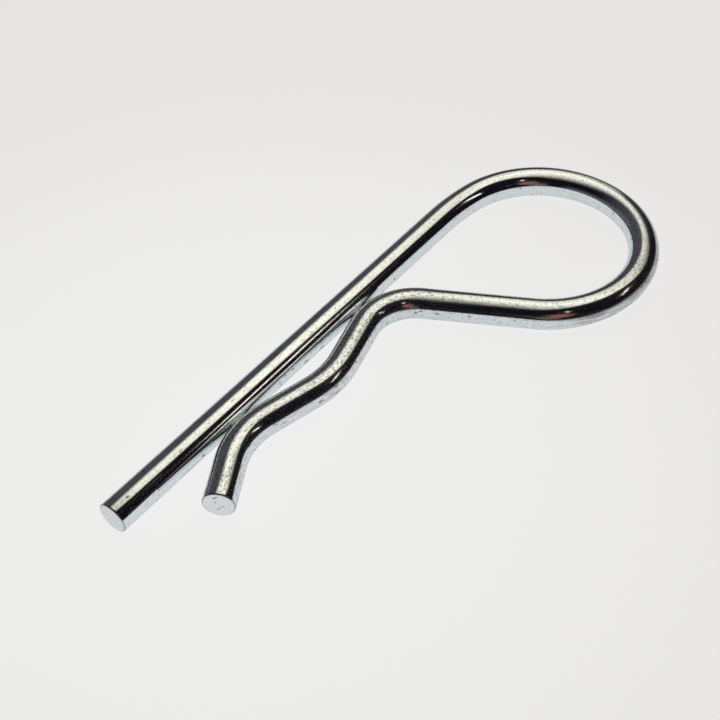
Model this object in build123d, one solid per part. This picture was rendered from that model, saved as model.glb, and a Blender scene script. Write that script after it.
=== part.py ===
import os
from math import cos, radians, sin

from build123d import *

# Round spring wire
wire_diameter = 4.0
end_break = 0.2  # rounding left round each cropped end

# Straight leg, from the middle of the saddle to its free tip
tip_reach = 30.9

# Room between the two legs, from wire to wire
grip_gap = 0.05  # where the nose and the heel bear on the straight leg
saddle_gap = 2.4  # at the bottom of the saddle

# Bends, to the middle of the wire, in the order in which the wire runs
shoulder_radius = 33.0
eye_radius = 13.5
nose_radius = 6.9
saddle_radius = 12.5
heel_radius = 10.4

# Slopes against the straight leg, in degrees
shoulder_angle = 12.0
arm_angle = 62.0
nose_slope_angle = 15.0
heel_slope_angle = 14.5
tail_angle = 29.5
half_turn_angle = 180.0

# Straight end of the wire past the heel
tail_length = 6.1


def slope_run(radii, angle):
    # straight wire between a crest at the grip gap and the bottom of the saddle
    drop = saddle_gap - grip_gap
    return (drop - radii * (1 - cos(radians(angle)))) / sin(radians(angle))


def slope_reach(radii, angle):
    # the same stretch, bends and all, measured along the straight leg
    return radii * sin(radians(angle)) + slope_run(radii, angle) * cos(radians(angle))


def run_on(before, length):
    return Line(before @ 1, before @ 1 + (before % 1) * length)


def bend(before, radius, turn):
    return JernArc(before @ 1, before % 1, radius, turn)


# Slopes on both sides of the saddle
nose_radii = nose_radius + saddle_radius
heel_radii = saddle_radius + heel_radius

# Arm: its line touches the eye on one side and the nose on the other
shoulder_step = shoulder_radius - eye_radius
eye_depth = shoulder_radius - shoulder_step * cos(radians(shoulder_angle))
nose_depth = wire_diameter + grip_gap + nose_radius
arm_drop = eye_depth - nose_depth
arm_radii = eye_radius + nose_radius
arm_run = (arm_radii * cos(radians(arm_angle)) + arm_drop) / sin(radians(arm_angle))
arm_reach = (arm_radii + arm_drop * cos(radians(arm_angle))) / sin(radians(arm_angle))

# Straight leg, with the middle of the saddle over zero
eye_place = slope_reach(nose_radii, nose_slope_angle) + arm_reach
leg_end = eye_place - shoulder_step * sin(radians(shoulder_angle))

# Middle of the wire, from the free tip round the eye to the tail
leg = Line((-tip_reach, 0), (leg_end, 0))
shoulder = bend(leg, shoulder_radius, -shoulder_angle)
eye = bend(shoulder, eye_radius, shoulder_angle - arm_angle - half_turn_angle)
arm = run_on(eye, arm_run)
nose = bend(arm, nose_radius, arm_angle + nose_slope_angle)
nose_slope = run_on(nose, slope_run(nose_radii, nose_slope_angle))
saddle = bend(nose_slope, saddle_radius, -nose_slope_angle - heel_slope_angle)
heel_slope = run_on(saddle, slope_run(heel_radii, heel_slope_angle))
heel = bend(heel_slope, heel_radius, heel_slope_angle + tail_angle)
tail = run_on(heel, tail_length)
stretches = [leg, shoulder, eye, arm, nose, nose_slope, saddle, heel_slope, heel, tail]
centre_line = Wire([stretch.edge() for stretch in stretches])

# Wire body, with its two cropped ends
section = Plane(origin=leg @ 0, z_dir=leg % 0) * Circle(wire_diameter / 2)
clip = sweep(section, path=centre_line)
cropped_ends = clip.faces().filter_by(GeomType.PLANE)
clip = fillet(cropped_ends.edges(), end_break)

# The clip lies flat, with its middle over the origin
box = clip.bounding_box()
clip = Pos(-box.center().X, -box.center().Y, -box.min.Z) * clip

os.makedirs("parts", exist_ok=True)
export_step(clip, "parts/r_clip.step")
print(f"wire to cut: {centre_line.length:.1f} mm")
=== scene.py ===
from math import ceil, cos, pi, radians, sin

import bpy
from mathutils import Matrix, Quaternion, Vector
from mathutils.kdtree import KDTree


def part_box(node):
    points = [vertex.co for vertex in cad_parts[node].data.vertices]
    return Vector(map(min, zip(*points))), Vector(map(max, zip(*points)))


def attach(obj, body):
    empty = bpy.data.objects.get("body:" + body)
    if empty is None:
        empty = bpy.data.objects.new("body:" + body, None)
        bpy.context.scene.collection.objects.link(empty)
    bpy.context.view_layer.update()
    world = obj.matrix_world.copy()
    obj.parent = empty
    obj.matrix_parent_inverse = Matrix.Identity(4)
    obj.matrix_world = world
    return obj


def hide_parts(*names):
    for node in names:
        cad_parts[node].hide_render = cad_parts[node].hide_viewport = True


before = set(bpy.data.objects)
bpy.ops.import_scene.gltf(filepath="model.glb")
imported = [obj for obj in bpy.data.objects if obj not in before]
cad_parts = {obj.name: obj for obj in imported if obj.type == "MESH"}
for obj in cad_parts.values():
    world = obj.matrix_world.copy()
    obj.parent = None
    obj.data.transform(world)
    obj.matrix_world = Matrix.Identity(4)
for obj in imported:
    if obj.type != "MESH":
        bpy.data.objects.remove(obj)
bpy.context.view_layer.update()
mm = 0.001
print("frame loaded:", len(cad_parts), "node")


class Value:  # a shader socket that can stand in sums and products
    def __init__(self, tree, socket):
        self.tree = tree
        self.socket = socket

    def math(self, operation, first, second):
        node = self.tree.nodes.new("ShaderNodeMath")
        node.operation = operation
        for place, value in zip(node.inputs, (first, second)):
            plug(self.tree, place, value)
        return Value(self.tree, node.outputs[0])

    def __add__(self, other):
        return self.math("ADD", self, other)

    def __radd__(self, other):
        return self.math("ADD", other, self)

    def __sub__(self, other):
        return self.math("SUBTRACT", self, other)

    def __rsub__(self, other):
        return self.math("SUBTRACT", other, self)

    def __mul__(self, other):
        return self.math("MULTIPLY", self, other)

    def __rmul__(self, other):
        return self.math("MULTIPLY", other, self)

    def __truediv__(self, other):
        return self.math("DIVIDE", self, other)

    def __rtruediv__(self, other):
        return self.math("DIVIDE", other, self)


def plug(tree, place, value):  # a link from a socket, or a plain value
    if isinstance(value, Value):
        tree.links.new(value.socket, place)
    else:
        place.default_value = value


class Finish:  # a material, made node by node
    def __init__(self, name):
        self.material = bpy.data.materials.new(name)
        self.material.use_nodes = True
        self.tree = self.material.node_tree
        self.tree.nodes.clear()

    def node(self, kind, settings=None, sockets=None, output=0):
        made = self.tree.nodes.new("ShaderNode" + kind)
        for name, setting in (settings or {}).items():
            if name == "stops":  # a ramp's own: place and colour
                while len(made.color_ramp.elements) < len(setting):
                    made.color_ramp.elements.new(1)
                for element, (place, colour) in zip(made.color_ramp.elements, setting):
                    element.position = place
                    element.color = colour
            else:
                setattr(made, name, setting)
        for name, value in (sockets or {}).items():
            place = next(s for s in made.inputs if s.enabled and name in (s.name, s.identifier))
            plug(self.tree, place, value)
        return Value(self.tree, made.outputs[output]) if made.outputs else None

    def vector(self, operation, first, second, output=0):
        sockets = {"Vector": first, "Vector_001": second}
        return self.node("VectorMath", {"operation": operation}, sockets, output)

    def length(self, vector):
        return self.node("VectorMath", {"operation": "LENGTH"}, {"Vector": vector}, "Value")

    def parts(self, vector, axes):
        return [self.node("SeparateXYZ", {}, {"Vector": vector}, axis) for axis in axes]

    def step(self, value, low, high):  # 0 up to low, 1 from high on, smooth between
        spread = {"Value": value, "From Min": low, "From Max": high}
        return self.node("MapRange", {"interpolation_type": "SMOOTHSTEP"}, spread)

    def mix(self, share, first, second):
        sockets = {"Factor": share, "A": first, "B": second}
        return self.node("Mix", {"data_type": "RGBA"}, sockets, 2)

    def blend(self, share, first, second):
        sockets = {"Fac": share, "Shader": first, "Shader_001": second}
        return self.node("MixShader", {}, sockets)

    def surface(self, shader):
        self.node("OutputMaterial", {}, {"Surface": shader})
        return self.material


# The clip, fed and bent from one wire
clipWire = {  # millimetres and degrees
    "radius": 2.0,
    "rim": 0.2,  # rounding round each cropped end
    "rimSteps": 4,
    "lip": 0.02,  # flat left between the rim and the end face
    "weld": 0.002,  # points closer than this are merged
    "tipReach": 30.9,  # middle of the saddle to the free tip
    "gripGap": 0.05,  # nose and heel to the straight leg
    "saddleGap": 2.4,  # bottom of the saddle to the straight leg
    "shoulderRadius": 33.0,
    "eyeRadius": 13.5,
    "noseRadius": 6.9,
    "saddleRadius": 12.5,
    "heelRadius": 10.4,
    "shoulderAngle": 12.0,
    "armAngle": 62.0,
    "noseSlope": 15.0,
    "heelSlope": 14.5,
    "tailAngle": 29.5,
    "tail": 6.1,
    "sides": 96,
    "feedStep": 3.0,  # a ring of points at least this often
    "bendStep": 2.0,
}
rings = []  # along the wire: distance, place and heading


def slopeRun(radii, angle):  # straight wire between a crest and the bottom of the saddle
    drop = clipWire["saddleGap"] - clipWire["gripGap"]
    return (drop - radii * (1 - cos(radians(angle)))) / sin(radians(angle))


def slopeReach(radii, angle):  # the same stretch with its bends, measured along the leg
    return radii * sin(radians(angle)) + slopeRun(radii, angle) * cos(radians(angle))


def ahead(heading):
    return Vector((cos(radians(heading)), sin(radians(heading)), 0))


def feed(length):
    along, place, heading = rings[-1]
    steps = ceil(length / clipWire["feedStep"])
    for step in range(steps):
        move = ahead(heading) * (length / steps)
        bpy.ops.mesh.extrude_region_move(TRANSFORM_OT_translate={"value": move * mm})
        rings.append((along + length * (step + 1) / steps, place + move * (step + 1), heading))


def bend(radius, turn):  # a positive turn is to the left
    along, place, heading = rings[-1]
    steps = ceil(abs(turn) / clipWire["bendStep"])
    side = 90 if turn > 0 else -90
    centre = place + ahead(heading + side) * radius
    bpy.ops.mesh.spin(steps=steps, angle=radians(turn), center=centre * mm, axis=(0, 0, -1))
    for step in range(1, steps + 1):
        turned = turn * step / steps
        reached = centre - ahead(heading + turned + side) * radius
        rings.append((along + radius * radians(abs(turned)), reached, heading + turned))


def bendClip():
    w = clipWire
    noseRadii = w["noseRadius"] + w["saddleRadius"]
    heelRadii = w["saddleRadius"] + w["heelRadius"]
    shoulderStep = w["shoulderRadius"] - w["eyeRadius"]
    eyeDepth = w["shoulderRadius"] - shoulderStep * cos(radians(w["shoulderAngle"]))
    armDrop = eyeDepth - (2 * w["radius"] + w["gripGap"] + w["noseRadius"])
    armRadii = w["eyeRadius"] + w["noseRadius"]
    armSine = sin(radians(w["armAngle"]))
    armCosine = cos(radians(w["armAngle"]))
    armRun = (armRadii * armCosine + armDrop) / armSine  # touches the eye and the nose
    armReach = (armRadii + armDrop * armCosine) / armSine
    eyePlace = slopeReach(noseRadii, w["noseSlope"]) + armReach
    legEnd = eyePlace - shoulderStep * sin(radians(w["shoulderAngle"]))

    low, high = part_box("r_clip")
    tip = Vector((low.x / mm, high.y / mm - w["radius"], w["radius"]))
    rings.append((0, tip, 0))
    bpy.ops.object.select_all(action="DESELECT")
    bpy.ops.mesh.primitive_circle_add(
        vertices=w["sides"], radius=w["radius"] * mm, location=tip * mm, rotation=(0, pi / 2, 0)
    )
    clip = bpy.context.object
    clip.name = "bentWireClip"
    bpy.ops.object.transform_apply(location=True, rotation=True, scale=True)
    bpy.ops.object.mode_set(mode="EDIT")
    bpy.ops.mesh.select_all(action="SELECT")
    feed(w["tipReach"] + legEnd)  # straight leg
    bend(w["shoulderRadius"], -w["shoulderAngle"])
    bend(w["eyeRadius"], w["shoulderAngle"] - w["armAngle"] - 180)
    feed(armRun)
    bend(w["noseRadius"], w["armAngle"] + w["noseSlope"])
    feed(slopeRun(noseRadii, w["noseSlope"]))
    bend(w["saddleRadius"], -w["noseSlope"] - w["heelSlope"])
    feed(slopeRun(heelRadii, w["heelSlope"]))
    bend(w["heelRadius"], w["heelSlope"] + w["tailAngle"])
    feed(w["tail"])
    bpy.ops.object.mode_set(mode="OBJECT")
    print("wire bent:", round(rings[-1][0], 1), "mm")
    return clip


def cropEnds(clip):
    w = clipWire
    bpy.ops.object.mode_set(mode="EDIT")
    bpy.ops.mesh.select_all(action="SELECT")
    bpy.ops.mesh.remove_doubles(threshold=w["weld"] * mm)
    bpy.ops.mesh.fill_holes(sides=0)
    bpy.ops.mesh.select_all(action="SELECT")
    bpy.ops.mesh.normals_make_consistent(inside=False)
    selectEnds(clip)
    bpy.ops.mesh.bevel(offset=w["rim"] * mm, segments=w["rimSteps"], affect="EDGES")
    selectEnds(clip)
    bpy.ops.mesh.inset(thickness=w["lip"] * mm, use_individual=True)
    bpy.ops.object.mode_set(mode="OBJECT")
    bpy.ops.object.shade_smooth()
    print("ends cropped:", len(clip.data.polygons), "faces")


def selectEnds(clip):  # the two round end faces, by their count of corners
    bpy.ops.mesh.select_mode(type="FACE")
    bpy.ops.mesh.select_all(action="DESELECT")
    bpy.ops.object.mode_set(mode="OBJECT")
    for face in clip.data.polygons:
        face.select = len(face.vertices) == clipWire["sides"]
    bpy.ops.object.mode_set(mode="EDIT")


def layWireGrid(clip):  # millimetres along, across and up the wire as it was before bending
    tree = KDTree(len(rings))
    for number, (along, place, heading) in enumerate(rings):
        tree.insert(place, number)
    tree.balance()
    grid = clip.data.attributes.new("wire", "FLOAT_VECTOR", "POINT")
    for vertex, cell in zip(clip.data.vertices, grid.data):
        spot = vertex.co / mm
        along, place, heading = rings[tree.find(spot)[1]]
        offset = spot - place
        cell.vector = (
            along + offset.dot(ahead(heading)),
            offset.dot(ahead(heading + 90)),
            offset.z,
        )
    print("wire grid laid over", len(clip.data.vertices), "points")


clip = bendClip()
cropEnds(clip)
layWireGrid(clip)

# Bright zinc plate
zincPlate = {  # sizes in millimetres of wire
    "colour": (0.785, 0.83, 0.855, 1),
    "soil": (0.2, 0.19, 0.18, 1),
    "edgeTint": (0.88, 0.88, 0.88, 1),  # zinc mirrors less at a glancing angle
    "roughness": 0.08,
    "wornRoughness": 0.06,  # as much more where it is worn
    "dullRoughness": 0.45,
    "haze": 0.008,  # share of the light that the plate's fine pits scatter
    "wornHaze": 0.085,  # as much more where it is worn
    "wear": [  # from the free tip to the tail, as shares of the wire's length
        (0, 0.12), (0.04, 0.06), (0.15, 0.07), (0.18, 0.2), (0.23, 0.2), (0.27, 0.08), (0.5, 0.1),
        (0.56, 0.3), (0.6, 0.5), (0.64, 0.3), (0.7, 0.22), (0.745, 0.4), (0.78, 0.8), (0.83, 0.6),
        (0.87, 0.65), (0.91, 0.45), (0.96, 0.5), (1, 0.5),
    ],
    "shinyInside": (-0.92, -0.68),  # the side facing into the clip keeps its shine; in radii across
    "patterns": {  # stretch along, grains to the millimetre, detail, and the levels where marks set in
        "patches": (0.5, 0.6, 2.0, 0.38, 0.62),
        "grain": (0.4, 5.6, 1.0, 0.5, 0.62),
        "scuffs": (0.12, 4.6, 2.0, 0.5, 0.64),
        "pits": (0.4, 3.4, 1.0, 0.67, 0.72),
        "hairlines": (0.012, 7.0, 0.0, 0.7, 0.76),
        "scrape": (0.07, 3.6, 2.0, 0.47, 0.62),
    },
    "shinyGrain": 0.3,  # share of the grain on plate with no wear
    "lowGrain": 0.5,  # share of it low on the wire
    "grainHeights": (0.2, 1.4),  # from low to high, above the wire's middle
    "soilShares": {  # how far each kind of mark darkens the plate
        "grain": 0.95, "scuffs": 0.5, "pits": 0.9, "hairlines": 0.3, "scrape": 0.6, "nicks": 0.95,
        "rims": 0.55,
    },
    "hazeShares": {"scuffs": 0.06, "scrape": 0.1, "hairlines": 0.3},  # and how far it dulls it
    "nicks": [  # place along the wire, degrees round it, half a length and half a width
        (2.3, 106, 0.26, 0.17), (10.8, 192, 2.0, 0.08), (12.9, 184, 0.38, 0.2), (31.7, 188, 0.45, 0.22),
        (34.8, 189, 0.42, 0.2), (49.9, 178, 0.2, 0.17), (131.9, 10, 0.2, 0.15), (136, 9, 0.35, 0.14),
        (139, 6, 0.38, 0.14), (144.6, 351, 0.32, 0.16), (158.2, 355, 0.33, 0.21), (160.4, 5, 0.42, 0.15),
    ],
    "endSpecks": [  # on the tail's end: degrees round, distance from the middle and half a width
        (112, 1.23, 0.14), (101, 1.3, 0.16), (91, 1.42, 0.12), (124, 0.54, 0.14), (291, 0.43, 0.13),
        (343, 0.6, 0.12), (261, 0.8, 0.14),
    ],
    "scrape": (109, 6, 14, 1.7),  # worn outside of the eye, given as a nick is
    "fray": (0.6, 5.0, 1.0),  # uneven edge of nicks and scrape: stretch, grains and detail
    "markEdge": (0.5, 1.2),  # where it starts and ends, in half sizes of the mark
    "endDepth": (0.12, 0.22),  # the cropped ends, measured along the wire
    "rimDepth": (0.24, 0.14),  # their dull rims, measured in from the wire's surface
    "waves": [(0.03, 5.0, 2.0, 0.003), (0.6, 1.6, 1.0, 0.004)],  # stretch, grains, detail and height
    "shinyWaves": 0.08,  # share of them on plate with no wear
    "wornWaves": 0.7,  # as much more where it is worn
    "pitDepth": 0.001,
    "nickDepth": 0.004,
}


def makeZinc():
    z = zincPlate
    zinc = Finish("brightZincPlate")
    wire = zinc.node("Attribute", {"attribute_name": "wire"}, {}, 1)
    along, across, up = zinc.parts(wire, "XYZ")
    radius = clipWire["radius"]
    length = rings[-1][0]

    def noise(stretch, scale, detail):
        spread = zinc.vector("MULTIPLY", wire, (stretch, 1, 1))
        return zinc.node("TexNoise", {}, {"Vector": spread, "Scale": scale, "Detail": detail})

    def marks(name):  # 0 on clean plate, 1 in the middle of a mark
        stretch, scale, detail, low, high = z["patterns"][name]
        return zinc.step(noise(stretch, scale, detail), low, high)

    fray = noise(*z["fray"]) - 0.5

    def blot(place, degrees, out, long, wide):  # 1 in the middle of one mark, 0 outside it
        middle = (place, out * cos(radians(degrees)), out * sin(radians(degrees)))
        offset = zinc.vector("SUBTRACT", wire, middle)
        offset = zinc.vector("MULTIPLY", offset, (1 / long, 1 / wide, 1 / wide))
        return 1 - zinc.step(zinc.length(offset) + fray, *z["markEdge"])

    # Where the wire is worn, and its two ends
    stops = [(place, (level, level, level, 1)) for place, level in z["wear"]]
    worn = zinc.node("ValToRGB", {"stops": stops}, {"Fac": along / length})
    worn = worn * zinc.step(across, *[share * radius for share in z["shinyInside"]])
    near, far = z["endDepth"]
    ends = 1 - zinc.step(along, near, far) + zinc.step(along, length - far, length - near)
    deep, shallow = z["rimDepth"]
    fromMiddle = zinc.length(zinc.vector("MULTIPLY", wire, (0, 1, 1)))

    # Marks of use
    sides = 1 - ends
    patches = marks("patches")
    grainWear = z["shinyGrain"] + worn * (1 - z["shinyGrain"])
    grainHeight = z["lowGrain"] + zinc.step(up, *z["grainHeights"]) * (1 - z["lowGrain"])
    place, degrees, long, wide = z["scrape"]
    spots = {
        "grain": marks("grain") * grainWear * sides * grainHeight,
        "scuffs": marks("scuffs") * worn * patches * sides,
        "pits": marks("pits") * patches * sides,
        "hairlines": marks("hairlines") * patches,
        "scrape": blot(place, degrees, radius, long, wide) * marks("scrape"),
        "nicks": 0,
        "rims": ends * zinc.step(fromMiddle, radius - deep, radius - shallow),
    }
    for place, degrees, long, wide in z["nicks"]:
        spots["nicks"] = spots["nicks"] + blot(place, degrees, radius, long, wide)
    for degrees, out, wide in z["endSpecks"]:
        spots["nicks"] = spots["nicks"] + blot(length, degrees, out, wide, wide)
    spoilt = sum(spots[name] * share for name, share in z["soilShares"].items())
    hazy = sum(spots[name] * share for name, share in z["hazeShares"].items())

    # Relief, then bright plate with a dull haze over it
    waves = sum(noise(*pattern) * height for *pattern, height in z["waves"])
    waves = waves * (z["shinyWaves"] + worn * z["wornWaves"])
    relief = waves - spots["pits"] * z["pitDepth"] - spots["nicks"] * z["nickDepth"]
    plate = {
        "Metallic": 1.0,
        "Specular Tint": z["edgeTint"],
        "Normal": zinc.node("Bump", {}, {"Strength": 1.0, "Distance": mm, "Height": relief}),
    }
    brightLook = {
        "Base Color": zinc.mix(spoilt, z["colour"], z["soil"]),
        "Roughness": z["roughness"] + worn * z["wornRoughness"],
    }
    dullLook = {"Base Color": z["colour"], "Roughness": z["dullRoughness"]}
    bright = zinc.node("BsdfPrincipled", {}, {**plate, **brightLook})
    dull = zinc.node("BsdfPrincipled", {}, {**plate, **dullLook})
    return zinc.surface(zinc.blend(z["haze"] + worn * z["wornHaze"] + hazy, bright, dull))


clip.data.materials.append(makeZinc())
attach(clip, "root")
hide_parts("r_clip")
print("clip plated")

# Camera, where the photograph was taken from
photoCamera = {  # millimetres and degrees
    "aim": (-4.128, 7.556, 0),
    "distance": 162.504,
    "azimuth": -49.77,
    "elevation": 46.079,
    "roll": -3.19,
    "lens": 64.558,
    "nearest": 10,  # what is closer is cut away
}


def placeCamera():
    p = photoCamera
    across = cos(radians(p["elevation"]))
    back = Vector((0, 0, sin(radians(p["elevation"])))) + ahead(p["azimuth"] - 90) * across
    roll = Quaternion((0, 0, 1), radians(p["roll"]))
    bpy.ops.object.camera_add(location=(Vector(p["aim"]) + back * p["distance"]) * mm)
    camera = bpy.context.object
    camera.rotation_mode = "QUATERNION"
    camera.rotation_quaternion = back.to_track_quat("Z", "Y") @ roll
    camera.data.lens = p["lens"]
    camera.data.clip_start = p["nearest"] * mm
    bpy.context.scene.camera = camera


placeCamera()
print("camera placed")

# Pale table
paleTable = {  # metres, and light levels where 1 is white
    "radius": 0.79,
    "sides": 96,
    "paper": (0.89, 0.89, 0.885, 1),
    "nearTone": (0.972, 0.972, 0.972, 1),  # painted pool of light by the clip
    "farTone": (0.884, 0.877, 0.867, 1),
    "lightPoolMiddle": (-0.025, 0.011, 0),
    "lightPoolReach": 0.105,
    "glow": 0.85,  # share of the tone that no shadow takes
    "shade": 0.08,  # painted shade: how much darker the wire mirrors the table beside it
    "dusk": 0.78,  # and as much more painted shade further off
    "duskTone": (0.006, 0.005, 0.008, 1),
    "duskReach": (0.003, 0.035),  # out from a box about the clip's middle
    "boxMiddle": (0, 0.004, 0),
    "boxHalf": (0.041, 0.0105, 0),  # half its size
}


def layTable():
    t = paleTable
    bpy.ops.mesh.primitive_circle_add(vertices=t["sides"], radius=t["radius"], fill_type="NGON")
    table = bpy.context.object
    table.name = "paleTable"
    paper = Finish("palePaper")
    spot = paper.node("TexCoord", {}, {}, "Object")
    rays = ("Is Camera Ray", "Is Glossy Ray", "Is Transmission Ray")
    camera, glossy, through = [paper.node("LightPath", {}, {}, ray) for ray in rays]
    # painted pool of light: the table glows brightest near the clip and fades to farTone further out
    distance = paper.vector("DISTANCE", spot, t["lightPoolMiddle"], "Value")
    tone = paper.mix(paper.step(distance, 0, t["lightPoolReach"]), t["nearTone"], t["farTone"])
    off = paper.vector("SUBTRACT", spot, t["boxMiddle"])
    off = paper.node("VectorMath", {"operation": "ABSOLUTE"}, {"Vector": off})
    off = paper.vector("SUBTRACT", off, t["boxHalf"])
    off = paper.length(paper.vector("MAXIMUM", off, (0, 0, 0)))
    # painted shade seen only in the wire: glossy rays find the table darker beside the clip and darker
    # still further off
    dusk = glossy * (t["shade"] + paper.step(off, *t["duskReach"]) * t["dusk"])
    tone = paper.mix(dusk, tone, t["duskTone"])
    lit = paper.node("BsdfDiffuse", {}, {"Color": t["paper"]})
    glow = paper.node("Emission", {}, {"Color": tone, "Strength": 1.0})
    share = (camera + glossy + through) * t["glow"]
    table.data.materials.append(paper.surface(paper.blend(share, lit, glow)))
    paper.material.cycles.emission_sampling = "NONE"


# Dark tent, so that the bright wire shows dark bands; x runs to the camera's right, y away from it
darkTent = {  # metres and degrees; places as shares of the radius
    "radius": 0.8,
    "segments": 48,
    "rings": 24,
    "nearCloth": (0.006, 0.005, 0.008, 1),
    "farCloth": (0.076, 0.074, 0.083, 1),
    "farLean": 0.5,  # how far that side leans to the left
    "farReach": (0.2, 1),
    "lowCloth": (0.19, 0.2, 0.21, 1),  # low on the left
    "leftLean": 0.1,
    "leftReach": (-0.5, -0.75),
    "lowReach": (-0.2, 0.54),
    "cards": [  # middle, turn and half size as seen from the clip at height 1, and tone
        ((0.62, 4.0), 81, (3.4, 0.5), (0.03, 0.03, 0.031, 1)),
        ((1.0, 2.7), 60.8, (2.1, 0.3), (0.46, 0.44, 0.4, 1)),
        ((0.2, -7.5), -88, (6.3, 1.3), (0.17, 0.13, 0.115, 1)),
        ((0.55, -2.3), -77, (1.45, 0.58), (0.3, 0.125, 0.1, 1)),
        ((1.55, -0.15), -40, (0.6, 0.36), (0.04, 0.02, 0.014, 1)),
        ((1.5, -0.165), -39.5, (0.5, 0.095), (1.9, 1.62, 1.5, 1)),
        ((0.37, -0.75), -73, (0.18, 0.036), (1.9, 1.5, 1.2, 1)),
    ],
    "cardEdge": (0.2, 1),  # a card fades between these, in squares of its half size
}


def pitchTent():
    t = darkTent
    radius = t["radius"]
    bpy.ops.mesh.primitive_uv_sphere_add(segments=t["segments"], ring_count=t["rings"], radius=radius)
    tent = bpy.context.object
    tent.name = "darkTent"
    bpy.ops.object.mode_set(mode="EDIT")
    bpy.ops.mesh.select_all(action="SELECT")
    bpy.ops.mesh.bisect(plane_co=(0, 0, 0), plane_no=(0, 0, 1), clear_inner=True)
    bpy.ops.object.mode_set(mode="OBJECT")
    tent.rotation_euler = (0, 0, radians(photoCamera["azimuth"]))
    tent.visible_camera = False
    cloth = Finish("darkTentCloth")
    right, away, up = cloth.parts(cloth.node("TexCoord", {}, {}, "Object"), "XYZ")
    far = cloth.step((away - right * t["farLean"]) / radius, *t["farReach"])
    left = cloth.step((right + away * t["leftLean"]) / radius, *t["leftReach"])
    low = 1 - cloth.step(up / radius, *t["lowReach"])
    tone = cloth.mix(far, t["nearCloth"], t["farCloth"])
    tone = cloth.mix(left * low, tone, t["lowCloth"])
    for (x, y), turn, (long, wide), colour in t["cards"]:
        aside = right / up - x
        beyond = away / up - y
        run = (aside * cos(radians(turn)) + beyond * sin(radians(turn))) / long
        rise = (beyond * cos(radians(turn)) - aside * sin(radians(turn))) / wide
        card = 1 - cloth.step(run * run + rise * rise, *t["cardEdge"])
        tone = cloth.mix(card, tone, colour)
    glow = cloth.node("Emission", {}, {"Color": tone, "Strength": 1.0})
    tent.data.materials.append(cloth.surface(glow))
    cloth.material.cycles.emission_sampling = "NONE"


# Soft panel overhead, turned as the tent is
softPanel = {  # metres and degrees; places and sizes in heights above the table
    "height": 0.37,
    "place": (0.25, 0.6),
    "size": 2.6,
    "edges": [  # bearing, reach and half a width of fading
        (36, 0.525, 0.7), (159, 0.423, 0.27), (246, 0.604, 0.6), (310, 0.53, 0.11),
    ],
    "colour": (1, 0.947, 0.8, 1),
    "level": 1.36,
}


def hangPanel():
    p = softPanel
    height = p["height"]
    turn = radians(photoCamera["azimuth"])
    place = Quaternion((0, 0, 1), turn) @ (Vector((*p["place"], 1)) * height)
    bpy.ops.mesh.primitive_plane_add(size=p["size"], location=place)
    panel = bpy.context.object
    panel.name = "softPanel"
    panel.scale = (height, height, 1)
    panel.rotation_euler = (0, 0, turn)
    panel.visible_camera = False
    cloth = Finish("softPanelCloth")
    right, away = cloth.parts(cloth.node("TexCoord", {}, {}, "Object"), "XY")
    share = 1
    for bearing, reach, fade in p["edges"]:
        out = right * cos(radians(bearing)) + away * sin(radians(bearing))
        share = share * (1 - cloth.step(out, reach - fade, reach + fade))
    clear = cloth.node("BsdfTransparent")
    light = cloth.node("Emission", {}, {"Color": p["colour"], "Strength": p["level"]})
    panel.data.materials.append(cloth.surface(cloth.blend(share, clear, light)))


# Pale room past the table's edge
paleRoom = {
    "colour": (0.79, 0.784, 0.776, 1),
    "level": 1.0,
}


def setWorld():
    world = bpy.data.worlds.new("paleRoom")
    bpy.context.scene.world = world
    world.use_nodes = True
    room = world.node_tree.nodes["Background"]
    room.inputs["Color"].default_value = paleRoom["colour"]
    room.inputs["Strength"].default_value = paleRoom["level"]


layTable()
pitchTent()
hangPanel()
setWorld()
bpy.context.scene.view_settings.view_transform = "Standard"
print("table, tent and panel set")

print("scene ready")
